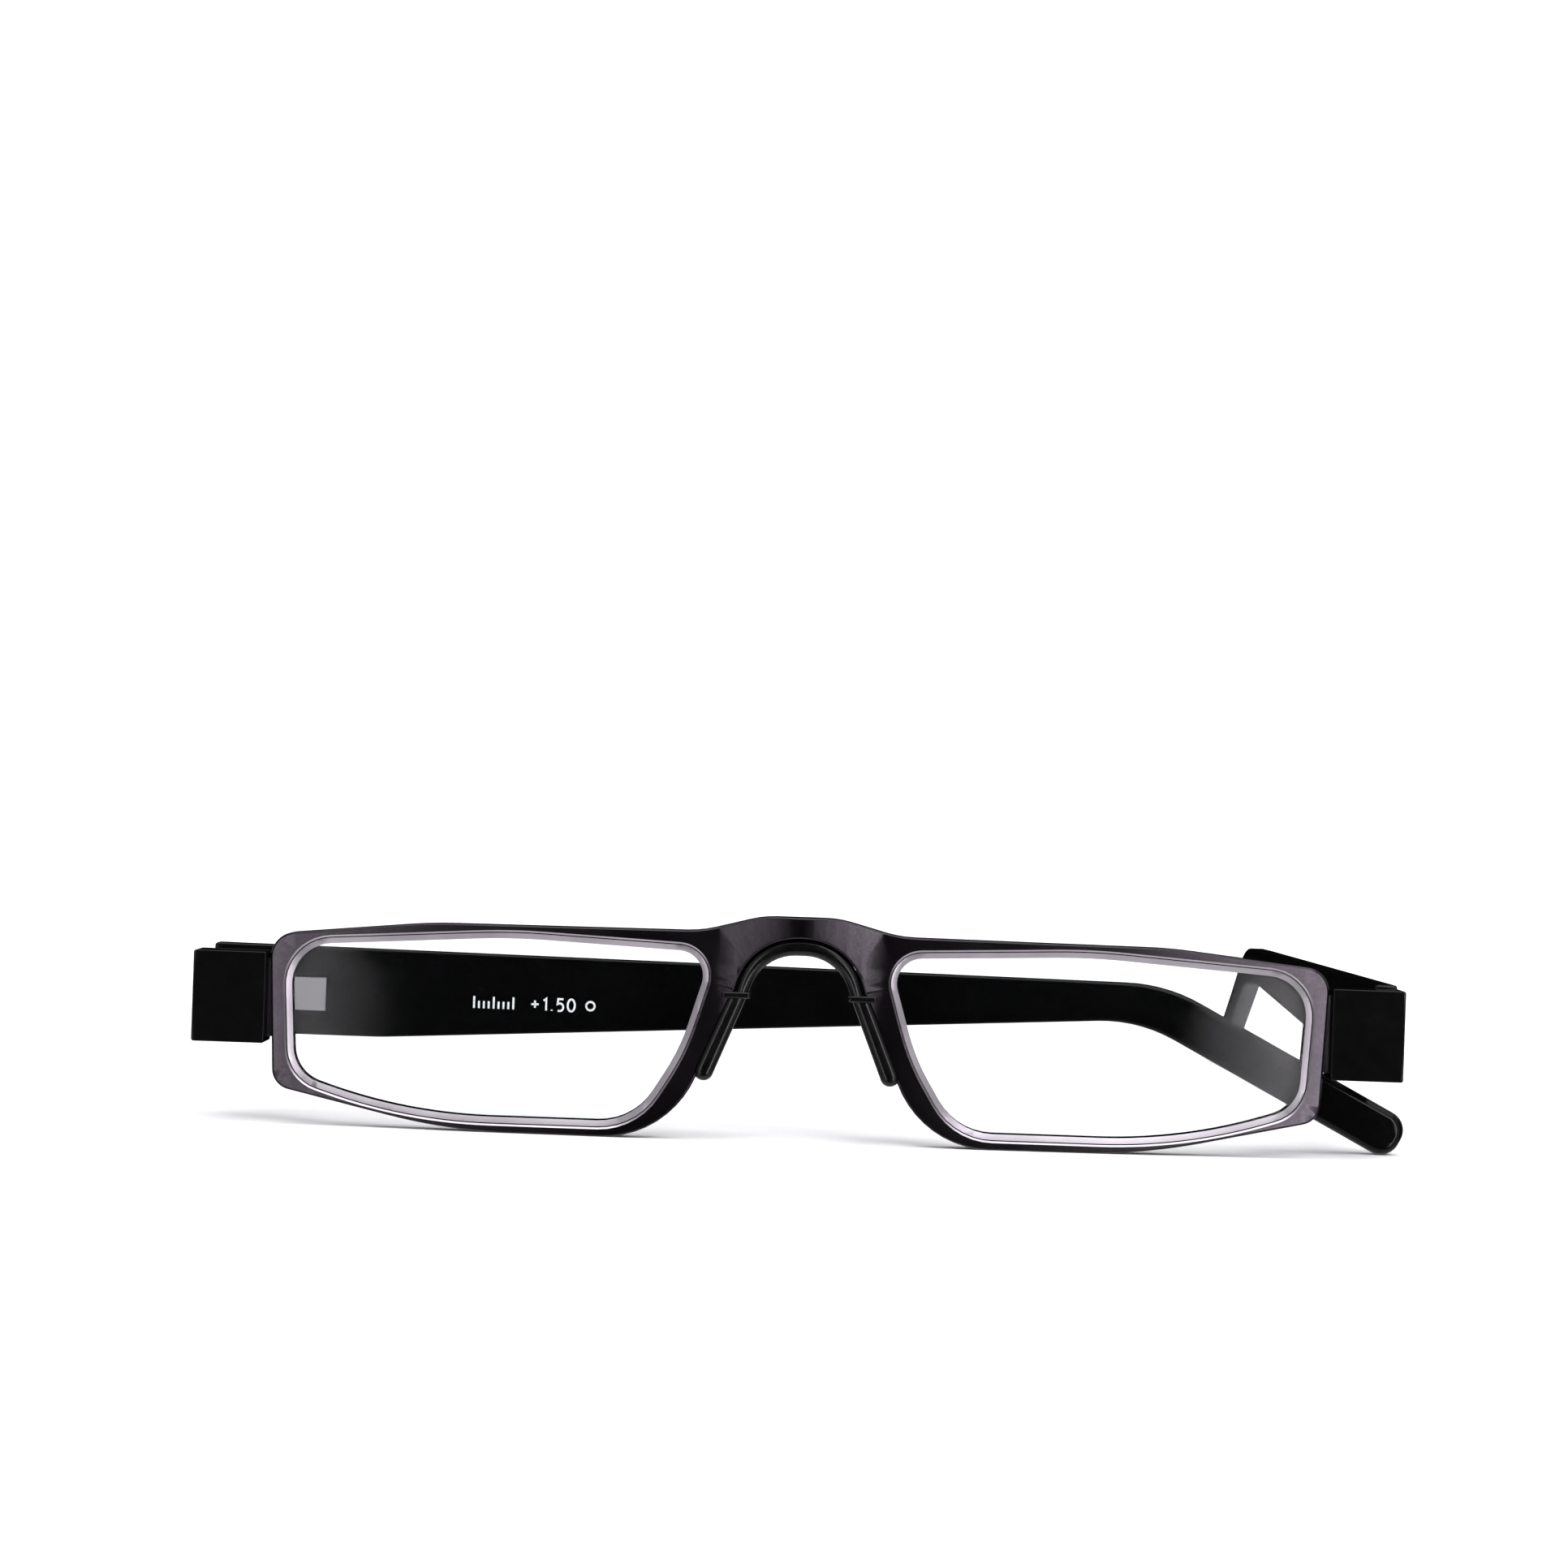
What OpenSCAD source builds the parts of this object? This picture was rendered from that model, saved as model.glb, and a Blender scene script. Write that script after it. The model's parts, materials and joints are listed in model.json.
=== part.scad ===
// Folding half-eye reading glasses, stored standing on the rims and the ear tips.
// +Z is up as worn, the front faces -Y, and +X is the wearer's left.
// The right temple is folded behind the lenses and the left temple is open.

/* [Front] */
// Radius that the front is bowed to, seen from above
front_bow_r = 800; // [500:10:1600]
// Thickness of the front, front to back
front_t = 3.0; // [2.4:0.1:4]
// Half width of the front at the rims
rim_half_w = 63.2; // [60:0.1:66]
// Height of the front over the bridge
bridge_top = 26.8; // [26:0.1:28]
// Height of the rims' top edge near the bridge
rim_top = 24.85; // [24.5:0.05:25.5]
// Height of the nose cut-out's top
nose_top = 24.3; // [23.5:0.1:24.8]
// Width of the sloped edge inside each rim
rim_bevel = 1.0; // [0.6:0.1:1.2]
// How far the bridge's ridge stands forward of the rims
bridge_proud = 1.0; // [0.6:0.1:1.2]

/* [Lenses] */
// Lens thickness
lens_t = 1.8; // [1.4:0.1:2]
// How deep each lens edge sits in its rim
lens_seat = 0.6; // [0.3:0.1:0.8]

/* [Nose saddle] */
// Width of the arch under the bridge
arch_w = 2.0; // [1.6:0.1:2.4]
// Width of each nose pad
pad_w = 1.7; // [1.5:0.1:2.2]
// Depth of the arch, front to back
arch_depth = 4.6; // [4:0.1:6]
// Depth of the pads, front to back
pad_depth = 8.2; // [6:0.1:9]
// Height of the pads' lower ends
pad_bottom = 7.5; // [6.5:0.1:8]

/* [End blocks] */
// Half width of the whole front, over the end blocks
front_half_w = 72.3; // [72:0.1:72.6]
// Width of each end block
block_w = 8.7; // [8:0.1:9]
// Height of each end block
block_h = 10.9; // [10:0.1:12]
// Depth of each end block, front to back
block_d = 5.2; // [5:0.1:6]
// Height of the blocks' underside above the floor
block_z = 9.5; // [9:0.1:10]

/* [Hinges] */
// Distance of each hinge axis from the middle
axis_x = 68.0; // [67.5:0.1:68.5]
// Distance from a hinge axis to the inner face of its temple
axis_gap = 1.6; // [1.5:0.05:1.8]
// Distance from a hinge axis forward to the temple's butt end
butt = 3.7; // [3.6:0.05:3.9]
// Height of the hinge's middle
hinge_z = 14.9; // [14.5:0.1:15.5]
// Outer radius of the knuckles
knuckle_r = 1.3; // [1.2:0.05:1.4]
// Height of each knuckle
knuckle_h = 2.6; // [2.2:0.1:2.8]
// Radius of the pivot screw's shank
pivot_r = 0.65; // [0.6:0.01:0.7]
// Radial clearance of the pivot in the knuckles
pivot_clear = 0.05; // [0.02:0.01:0.08]
// How far each temple pulls out against its spring
pull = 1.0; // [0.6:0.1:1]

/* [Temples] */
// Thickness of each temple
temple_t = 2.6; // [2.4:0.1:2.6]
// Distance from the hinge axis to the end of the ear tip
temple_len = 142; // [140:0.5:143]
// Height of the temple's upper edge at the hinge
root_top = 20.8; // [20:0.1:21]
// Height of the temple's lower edge at the hinge
root_bottom = 9.9; // [9.5:0.1:10.5]
// Angle that the ear tip bends down
ear_bend = 27.6; // [22:0.1:32]
// Width of the ear tip
ear_w = 5.5; // [5:0.1:6]
// Length of the ear tip's lower edge
ear_len = 34.9; // [32:0.1:36]
// Angle that each temple leans past or short of square, so that the folded pair stacks
fold_lean = 1.24; // [1.24:0.01:1.4]

/* [Hidden] */
$fn = 48;
bow_fn = 1440;
// Gap between pieces that are fixed to each other
fit = 0.05;
// Largest turn of one facet of a rounded corner
arc_step = 11;

// Depths are measured back from the front of the rims at the bridge, then centred by this shift
saddle_proud = 0.4;
bridge_half_w = 9.5;
ridge_half_w = 1.5;
block_y = 2.7;
block_back = block_y + block_d;
axis_front = block_back + butt;
depth = axis_front + temple_len + bridge_proud;
shift_y = bridge_proud - depth / 2;
block_x = front_half_w - block_w;

// The lens opening of the wearer's left rim at the front of its bevel: x, z and corner radius
opening = [[18.7, 0.9, 8.5], [46.3, 0.8, 66], [60.8, 5.3, 5.4], [61.8, 22.3, 5.9],
    [34.5, 24.2, 80], [9.2, 23.2, 4], [13.1, 10.1, 27]];
// The nose cut-out: a round arch, then straight slanted edges down to the foot of each rim
arch_corner = [5.9, nose_top];
arch_r = 7.5;
nose_mid = [7.7, 18];
nose_foot = [14.97, 0];
// The left half of the front's edge, from the nose cut-out round to the bridge
front_half = [[arch_corner.x, arch_corner.y, arch_r], [nose_mid.x, nose_mid.y, 3],
    [nose_foot.x, nose_foot.y, 12], [41, 0, 70], [rim_half_w - 0.8, 4.55, 2.5],
    [rim_half_w, rim_top - 2.25, 3], [44, rim_top - 0.25, 60], [11.8, rim_top, 14], [4.5, bridge_top, 12]];

lug_x = [61.5, block_x + 3.9];
lug_y = [3.5, 5.4];
lug_z = [block_z + 0.8, block_z + block_h - 0.8];
plate_t = 0.8;
plate_x = [block_x + 0.8, axis_x + 1.2];
plate_half_h = 4.0;
butt_gap = 0.1;
rib_w = 0.8;
rib_y = [0.9, 2.1];
rib_root = 0.4;
block_screw_x = block_x + 2.0;
block_screw_dz = 2.4;
block_screw_r = 0.6;
block_head_r = 1.0;
block_head_h = 0.5;
pivot_head_r = 1.05;
pivot_head_h = 0.6;

housing_y = [2.0, 10.2];
housing_d = 2.0;
housing_h = 4.0;
housing_wall = 1.4;
head_y = [-0.9, 1.95];
spring_bore_r = 0.82;
shank_r = 0.38;
shank_end = 9.2;
nut_y = [8.2, 9.1];
nut_r = 0.72;
coil_r = 0.6;
wire_r = 0.12;
coil_turns = 8;
coil_steps = 14;
coil_sides = 6;
tip_r = 2.4;
ear_drop = [cos(ear_bend), -sin(ear_bend)];
ear_up = [sin(ear_bend), cos(ear_bend)];
// The ear tip's lower corner, placed so that its rounding just touches the floor
tip_low = [temple_len - tip_r - (ear_w - 2 * tip_r) * ear_up.x, tip_r] + tip_r * (ear_drop - ear_up);
tip_high = tip_low + ear_w * ear_up;
ear_low = tip_low - ear_len * ear_drop;
ear_high = tip_high - (ear_len - 1) * ear_drop;
temple_edge = [[butt_gap - butt, root_bottom, 0.4], [17, root_bottom, 60], [ear_low.x, ear_low.y, 18],
    [tip_low.x, tip_low.y, tip_r], [tip_high.x, tip_high.y, tip_r], [ear_high.x, ear_high.y, 20],
    [butt_gap - butt, root_top, 0.4]];

frame_paint = "#2b282b";
gloss_black = "#111112";
saddle_black = "#1c1b1c";
satin_silver = "#b9b8b6";
screw_steel = "#8f9194";
lens_clear = [0.93, 0.96, 0.98, 0.35];

function unit(v) = v / norm(v);
function turn_of(a, b, c) = sign(cross(b - a, c - b));
function xy(p) = [p.x, p.y];
function at(list, i) = list[(i + len(list)) % len(list)];

// One corner of an outline rounded to radius r
function rounded_corner(a, b, c, r) =
    let (u = unit(a - b), v = unit(c - b), half = acos(u * v) / 2,
        centre = b + unit(u + v) * r / sin(half), start = b + u * r / tan(half) - centre,
        from = atan2(start.y, start.x), turn = turn_of(a, b, c) * (180 - 2 * half),
        n = max(2, ceil(abs(turn) / arc_step)))
    [for (i = [0:n]) centre + r * [cos(from + turn * i / n), sin(from + turn * i / n)]];
// An outline from its corners and their radii, anticlockwise
function rounded(corners) = [for (i = [0:len(corners) - 1])
    each rounded_corner(xy(at(corners, i - 1)), xy(corners[i]), xy(at(corners, i + 1)), corners[i].z)];
// The same corners with every edge moved outward by d
function grown(corners, d) = [for (i = [0:len(corners) - 1])
    let (a = xy(at(corners, i - 1)), b = xy(corners[i]), c = xy(at(corners, i + 1)),
        u = unit(b - a), v = unit(c - b), nu = [u.y, -u.x], nv = [v.y, -v.x],
        moved = b + d * (nu + nv) / (1 + nu * nv))
    [moved.x, moved.y, corners[i].z + d * turn_of(a, b, c)]];
function mirrored(corners) = [for (i = [len(corners) - 1:-1:0]) [-corners[i].x, corners[i].y, corners[i].z]];

front_edge = rounded(concat(front_half, mirrored(front_half)));

// The corner of the nose cut-out's arch, moved inward by w, and the bend below it, moved outward by w
arch_slope = unit(nose_mid - arch_corner);
arch_in = [arch_slope.y, -arch_slope.x];
pad_slope = unit(nose_foot - nose_mid);
pad_in = [pad_slope.y, -pad_slope.x];
function arch_point(w) =
    let (start = arch_corner + w * arch_in)
    start + arch_slope * (start.y - nose_top + w) / -arch_slope.y;
function bend_point(w) = nose_mid - w * (arch_in + pad_in) / (1 + arch_in * pad_in);

// A band along the nose cut-out's edge: its width at the arch and at the pads, its lower end's height and
// rounding, and how far it reaches into the rims
function nose_band(w_arch, w_pad, bottom, end_r, reach) =
    let (low = nose_mid + pad_slope * (nose_mid.y - bottom) / -pad_slope.y,
        inner = arch_point(w_arch), inner_end = inner + arch_slope * (inner.y - nose_mid.y) / -arch_slope.y,
        outer = arch_point(-reach), bend = bend_point(reach), inner_bend = bend_point(-w_arch),
        pad_top = nose_mid + w_pad * pad_in, pad_low = low + w_pad * pad_in, rim_low = low - reach * pad_in,
        even = w_arch == w_pad, step = [[inner_end.x, inner_end.y, 0.15], [pad_top.x, pad_top.y, 0.15]],
        half = concat([[inner.x, inner.y, arch_r - w_arch]], even ? [[inner_bend.x, inner_bend.y, 3]] : step,
            [[pad_low.x, pad_low.y, end_r], [rim_low.x, rim_low.y, end_r], [bend.x, bend.y, 3],
            [outer.x, outer.y, arch_r + reach]]))
    concat(half, mirrored(half));

// An outline in X and Z, extruded back from y0 to y1
module slab(points, y0, y1) {
    translate([0, y1, 0]) rotate([90, 0, 0]) linear_extrude(y1 - y0) polygon(points);
}

// The bowed layer of the front between two depths
module bowed(from, to) {
    translate([0, front_bow_r, -5]) difference() {
        cylinder(r = front_bow_r - from, h = 40, $fn = bow_fn);
        translate([0, 0, -1]) cylinder(r = front_bow_r - to, h = 42, $fn = bow_fn);
    }
}

module bowed_slab(points, from, to) {
    intersection() {
        slab(points, -1, 12);
        bowed(from, to);
    }
}

module box(x, y, z) {
    translate([x[0], y[0], z[0]]) cube([x[1] - x[0], y[1] - y[0], z[1] - z[0]]);
}

// The wearer's left and right halves of the front are mirror images
module left_side() {
    translate([0, shift_y, 0]) children();
}

module right_side() {
    mirror([1, 0, 0]) left_side() children();
}

module both_sides() {
    left_side() children();
    right_side() children();
}

// A temple's pieces are drawn open, round the hinge axis, with +X outward and +Y back
module open_left() {
    translate([axis_x, axis_front + shift_y, 0]) children();
}

module folded_right() {
    mirror([1, 0, 0]) translate([axis_x, axis_front + shift_y, 0]) rotate([0, 0, 90 + fold_lean]) children();
}

module rod_y(x, z, r, y) {
    translate([x, y[1], z]) rotate([90, 0, 0]) cylinder(r = r, h = y[1] - y[0]);
}

module rod_z(x, y, r, z) {
    translate([x, y, z[0]]) cylinder(r = r, h = z[1] - z[0]);
}

module block_screw_pair() {
    for (side = [-1, 1]) translate([0, 0, hinge_z + side * block_screw_dz]) children();
}

// The rib on the nose cut-out's edge that holds the saddle. Its root is buried in the front by rib_root.
module nose_rib(extra) {
    bowed_slab(rounded(nose_band(rib_w + extra, rib_w + extra, pad_bottom + 1.2 - extra, 0.3, rib_root)),
        rib_y[0] - extra, rib_y[1] + extra);
}

// The bridge's front is a shallow ridge that slopes back to the rims on both sides, seen here from above
module bridge_ridge() {
    foot_y = bridge_half_w * bridge_half_w / (2 * front_bow_r) + 0.02;
    half = [[bridge_half_w, 1.5], [bridge_half_w, foot_y], [ridge_half_w, -bridge_proud]];
    outline = concat(half, [for (i = [2:-1:0]) [-half[i].x, half[i].y]]);
    translate([0, 0, -5]) linear_extrude(40) polygon(outline);
}

module front_frame() {
    color(frame_paint) translate([0, shift_y, 0]) difference() {
        union() {
            intersection() {
                slab(front_edge, -2, 12);
                union() {
                    bowed(0, front_t);
                    bridge_ridge();
                }
            }
            nose_rib(0);
            for (side = [0, 1]) mirror([side, 0, 0]) box(lug_x, lug_y, lug_z);
        }
        for (side = [0, 1]) mirror([side, 0, 0]) {
            slab(rounded(grown(opening, -rim_bevel)), -1, 8);
            bowed_slab(rounded(grown(opening, lens_seat - rim_bevel + fit)),
                (front_t - lens_t) / 2 - fit, (front_t + lens_t) / 2 + fit);
            block_screw_pair() rod_y(block_screw_x, 0, block_screw_r + 0.02, [lug_y[0] - 1, lug_y[1] + 1]);
        }
    }
}

module lens() {
    color(lens_clear) bowed_slab(rounded(grown(opening, lens_seat - rim_bevel)),
        (front_t - lens_t) / 2, (front_t + lens_t) / 2);
}

module lens_right() {
    right_side() lens();
}

module lens_left() {
    left_side() lens();
}

module nose_saddle() {
    band = rounded(nose_band(arch_w, pad_w, pad_bottom, pad_w / 2 - 0.05, 0));
    color(saddle_black) translate([0, shift_y, 0]) difference() {
        union() {
            intersection() {
                slab(band, -saddle_proud, arch_depth - saddle_proud);
                box([-20, 20], [-2, 12], [nose_mid.y - 0.6, 30]);
            }
            intersection() {
                slab(band, -saddle_proud, pad_depth - saddle_proud);
                box([-20, 20], [-2, 12], [0, nose_mid.y - 0.6]);
            }
        }
        nose_rib(fit);
    }
}

module end_block() {
    color(gloss_black) difference() {
        box([block_x, block_x + block_w], [block_y, block_back], [block_z, block_z + block_h]);
        box([block_x - 1, lug_x[1] + fit], [lug_y[0] - fit, lug_y[1] + fit], [lug_z[0] - fit, lug_z[1] + fit]);
        box([plate_x[0] - fit, plate_x[1] + fit], [block_back - plate_t, block_back + 1],
            [hinge_z - plate_half_h - fit, hinge_z + plate_half_h + fit]);
        block_screw_pair() rod_y(block_screw_x, 0, block_screw_r + fit, [lug_y[1], block_back]);
    }
}

module end_block_right() {
    right_side() end_block();
}

module end_block_left() {
    left_side() end_block();
}

// The front half of a hinge: a plate behind the block with an upper and a lower knuckle
module hinge_plate() {
    gap = 0.04;
    color(screw_steel) difference() {
        union() {
            box(plate_x, [block_back - plate_t, block_back], [hinge_z - plate_half_h, hinge_z + plate_half_h]);
            for (side = [-1, 1]) translate([0, 0, hinge_z + side * (knuckle_h + gap)]) {
                box([axis_x - 1.2, axis_x + 1.2], [block_back - plate_t, axis_front], [-knuckle_h / 2, knuckle_h / 2]);
                rod_z(axis_x, axis_front, knuckle_r, [-knuckle_h / 2, knuckle_h / 2]);
            }
        }
        rod_z(axis_x, axis_front, pivot_r + pivot_clear, [0, 40]);
        rod_z(axis_x, axis_front, pivot_head_r + fit, [pivot_top() - pivot_head_h, 40]);
        block_screw_pair() {
            rod_y(block_screw_x, 0, block_screw_r + fit, [0, 20]);
            rod_y(block_screw_x, 0, block_head_r + fit, [block_back - block_head_h, 20]);
        }
    }
}

module hinge_plate_right() {
    right_side() hinge_plate();
}

module hinge_plate_left() {
    left_side() hinge_plate();
}

function pivot_top() = hinge_z + 1.5 * knuckle_h + 0.04;

module hinge_screws() {
    color(screw_steel) both_sides() difference() {
        union() {
            rod_z(axis_x, axis_front, pivot_r, [hinge_z - 1.5 * knuckle_h, pivot_top() - 0.1]);
            rod_z(axis_x, axis_front, pivot_head_r, [pivot_top() - pivot_head_h + fit, pivot_top()]);
        }
        box([axis_x - 2, axis_x + 2], [axis_front - 0.14, axis_front + 0.14], [pivot_top() - 0.3, pivot_top() + 1]);
    }
}

module block_screws() {
    color(screw_steel) both_sides() block_screw_pair() difference() {
        union() {
            rod_y(block_screw_x, 0, block_screw_r, [lug_y[0] + 0.2, block_back - 0.1]);
            rod_y(block_screw_x, 0, block_head_r, [block_back - block_head_h + fit, block_back]);
        }
        box([block_screw_x - 2, block_screw_x + 2], [block_back - 0.25, block_back + 1], [-0.13, 0.13]);
    }
}

module temple() {
    color(gloss_black) difference() {
        translate([axis_gap, 0, 0]) rotate([90, 0, 90]) linear_extrude(temple_t) polygon(rounded(temple_edge));
        box([axis_gap - 1, axis_gap + housing_d + fit], [head_y[0] - pull - 0.2, housing_y[1] + fit],
            [hinge_z - housing_h / 2 - fit, hinge_z + housing_h / 2 + fit]);
    }
}

module temple_right() {
    folded_right() temple();
}

module temple_left() {
    open_left() temple();
}

// The box let into the temple, which the slider's shank and spring run in
module spring_housing() {
    color(satin_silver) difference() {
        box([axis_gap, axis_gap + housing_d], housing_y, [hinge_z - housing_h / 2, hinge_z + housing_h / 2]);
        rod_y(axis_gap + housing_d / 2, hinge_z, shank_r + 0.06, [0, 20]);
        rod_y(axis_gap + housing_d / 2, hinge_z, spring_bore_r, [housing_y[0] + housing_wall, 20]);
    }
}

module spring_housing_right() {
    folded_right() spring_housing();
}

module spring_housing_left() {
    open_left() spring_housing();
}

// The temple half of a hinge: the middle knuckle, a head flush with the temple and a shank for the spring
module hinge_slider() {
    color(satin_silver) difference() {
        union() {
            rod_z(0, 0, knuckle_r, [hinge_z - knuckle_h / 2, hinge_z + knuckle_h / 2]);
            box([0, axis_gap + 0.5], [head_y[0], -head_y[0]], [hinge_z - knuckle_h / 2, hinge_z + knuckle_h / 2]);
            box([axis_gap, axis_gap + housing_d], head_y, [hinge_z - housing_h / 2, hinge_z + housing_h / 2]);
            rod_y(axis_gap + housing_d / 2, hinge_z, shank_r, [0, shank_end]);
        }
        rod_z(0, 0, pivot_r + pivot_clear, [0, 40]);
    }
}

module hinge_slider_right() {
    folded_right() hinge_slider();
}

module hinge_slider_left() {
    open_left() hinge_slider();
}

module slider_nut() {
    color(screw_steel) difference() {
        rod_y(axis_gap + housing_d / 2, hinge_z, nut_r, nut_y);
        rod_y(axis_gap + housing_d / 2, hinge_z, shank_r + 0.01, [0, 20]);
    }
}

module slider_nut_right() {
    folded_right() slider_nut();
}

module slider_nut_left() {
    open_left() slider_nut();
}

// A round-wire coil along +Z from z = 0
module coil(length) {
    rings = coil_turns * coil_steps;
    points = [for (i = [0:rings], k = [0:coil_sides - 1])
        let (a = 360 * i / coil_steps, b = 360 * k / coil_sides, r = coil_r + wire_r * cos(b))
        [r * cos(a), r * sin(a), wire_r + (length - 2 * wire_r) * i / rings + wire_r * sin(b)]];
    sides = [for (i = [0:rings - 1], k = [0:coil_sides - 1])
        let (a = i * coil_sides, b = a + coil_sides, next = (k + 1) % coil_sides)
        each [[a + k, a + next, b + next], [a + k, b + next, b + k]]];
    caps = [[for (k = [coil_sides - 1:-1:0]) k], [for (k = [0:coil_sides - 1]) rings * coil_sides + k]];
    polyhedron(points, concat(sides, caps));
}

module return_spring() {
    from = housing_y[0] + housing_wall + 0.03;
    color(screw_steel) translate([axis_gap + housing_d / 2, from, hinge_z]) rotate([-90, 0, 0])
        coil(nut_y[0] - 0.03 - from);
}

module return_spring_right() {
    folded_right() return_spring();
}

module return_spring_left() {
    open_left() return_spring();
}

front_frame();
lens_right();
lens_left();
nose_saddle();
end_block_right();
end_block_left();
hinge_plate_right();
hinge_plate_left();
hinge_screws();
block_screws();
temple_right();
temple_left();
spring_housing_right();
spring_housing_left();
hinge_slider_right();
hinge_slider_left();
return_spring_right();
return_spring_left();
slider_nut_right();
slider_nut_left();
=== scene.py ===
import json
import math

import bmesh
import bpy
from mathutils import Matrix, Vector


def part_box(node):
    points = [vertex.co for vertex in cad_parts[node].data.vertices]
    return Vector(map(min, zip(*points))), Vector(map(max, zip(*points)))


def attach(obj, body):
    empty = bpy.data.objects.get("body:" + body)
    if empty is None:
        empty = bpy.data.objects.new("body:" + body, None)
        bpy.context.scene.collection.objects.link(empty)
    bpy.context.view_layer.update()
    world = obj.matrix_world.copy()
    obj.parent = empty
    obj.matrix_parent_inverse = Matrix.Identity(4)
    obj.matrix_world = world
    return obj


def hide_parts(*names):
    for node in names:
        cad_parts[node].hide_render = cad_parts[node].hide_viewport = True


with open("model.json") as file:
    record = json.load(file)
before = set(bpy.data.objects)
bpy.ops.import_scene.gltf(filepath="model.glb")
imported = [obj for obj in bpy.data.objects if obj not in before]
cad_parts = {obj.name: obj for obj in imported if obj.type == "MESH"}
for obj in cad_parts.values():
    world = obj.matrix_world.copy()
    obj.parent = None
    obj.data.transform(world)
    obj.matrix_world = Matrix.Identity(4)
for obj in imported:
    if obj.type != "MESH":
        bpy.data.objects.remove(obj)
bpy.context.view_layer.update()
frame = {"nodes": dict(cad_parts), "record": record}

# Folding half-eye reading glasses. The wearer's right is -X, and the front faces -Y.
# Outlines are in millimetres: x or the distance back from a hinge, then height.
mm = 0.001

front = {
    "ridgeProud": 1.0,  # how far the bridge stands forward of the rims
    "ridgeHalfWidth": 9.5,
    "ridgeSoftness": 1.2,
    "ridgeFade": (0.5, 1.5),  # depth where the ridge's step starts to level out, and over how far
    "bowRadius": 800.0,
    "thickness": 3.0,
    "edgeRound": 0.28,
    "backRound": 0.3,
}
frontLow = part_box("front_frame")[0]
rimFrontY = frontLow.y / mm + front["ridgeProud"]

hinges = {}
for joint in frame["record"]["behaviour"]["joints"]:
    if joint["type"] == "hinge":
        hinges[joint["name"]] = Vector(joint["pos_m"]) / mm


def growCorners(corners, grow):
    grown = []
    for i, (x, z, radius) in enumerate(corners):
        before = Vector(corners[i - 1][:2])
        here = Vector((x, z))
        after = Vector(corners[(i + 1) % len(corners)][:2])
        u = (here - before).normalized()
        v = (after - here).normalized()
        outU = Vector((u.y, -u.x))
        outV = Vector((v.y, -v.x))
        moved = here + grow * (outU + outV) / (1 + outU.dot(outV))
        turn = 1 if u.x * v.y > u.y * v.x else -1
        grown.append((moved.x, moved.y, max(radius + grow * turn, 0.03)))
    return grown


def cornerTurn(corners, i):
    before, here, after = (Vector(corners[(i + k) % len(corners)][:2]) for k in (-1, 0, 1))
    return math.pi - (before - here).angle(after - here)


def cornerArc(corners, i, cuts):
    before, here, after = (Vector(corners[(i + k) % len(corners)][:2]) for k in (-1, 0, 1))
    radius = corners[i][2]
    u = (before - here).normalized()
    v = (after - here).normalized()
    half = u.angle(v) / 2
    centre = here + (u + v).normalized() * radius / math.sin(half)
    first = here + u * radius / math.tan(half) - centre
    startAngle = math.atan2(first.y, first.x)
    turn = math.pi - 2 * half
    if u.x * v.y > u.y * v.x:
        turn = -turn
    angles = [startAngle + turn * k / cuts for k in range(cuts + 1)]
    return [centre + radius * Vector((math.cos(a), math.sin(a))) for a in angles]


# A closed outline from its corners (x, z, radius), anticlockwise. The number of points doesn't depend
# on grow, so that rings of one outline can be joined point by point.
def outlineRing(corners, grow=0.0, step=1.5):
    grown = growCorners(corners, grow)
    count = range(len(corners))
    turns = [cornerTurn(corners, i) for i in count]
    cuts = [max(3, math.ceil(turns[i] / 0.16), math.ceil(turns[i] * corners[i][2] / step)) for i in count]
    arcs = [cornerArc(grown, i, cuts[i]) for i in count]
    plainArcs = [cornerArc(corners, i, cuts[i]) for i in count]
    ring = []
    for i in count:
        following = (i + 1) % len(corners)
        ring += arcs[i]
        parts = max(1, round((plainArcs[following][0] - plainArcs[i][-1]).length / step))
        ring += [arcs[i][-1].lerp(arcs[following][0], k / parts) for k in range(1, parts)]
    return ring


def mirrorCorners(corners):
    return [(-x, z, radius) for x, z, radius in reversed(corners)]


def atDepth(ring, depth):
    return [(point.x, depth, point.y) for point in ring]


# Rows of a quarter-round edge, from the flat face to the side
def roundRows(corners, radius, depth, towards, step=1.5, cuts=4, grow=0.0):
    rows = []
    for k in range(cuts + 1):
        angle = math.pi / 2 * k / cuts
        inset = radius * (1 - math.sin(angle))
        rows.append(atDepth(outlineRing(corners, grow - inset, step),
                            depth + towards * radius * (1 - math.cos(angle))))
    return rows


# Rows round a slab of one outline, from its near face to its far face, with both edges rounded
def slabRows(corners, near, far, nearRound, farRound, **spacing):
    rows = roundRows(corners, nearRound, near, 1, **spacing)
    return rows + roundRows(corners, farRound, far, -1, **spacing)[::-1]


def rectangle(across, heights, radius):
    (left, right), (low, high) = across, heights
    return [(left, low, radius), (right, low, radius), (right, high, radius), (left, high, radius)]


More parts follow.
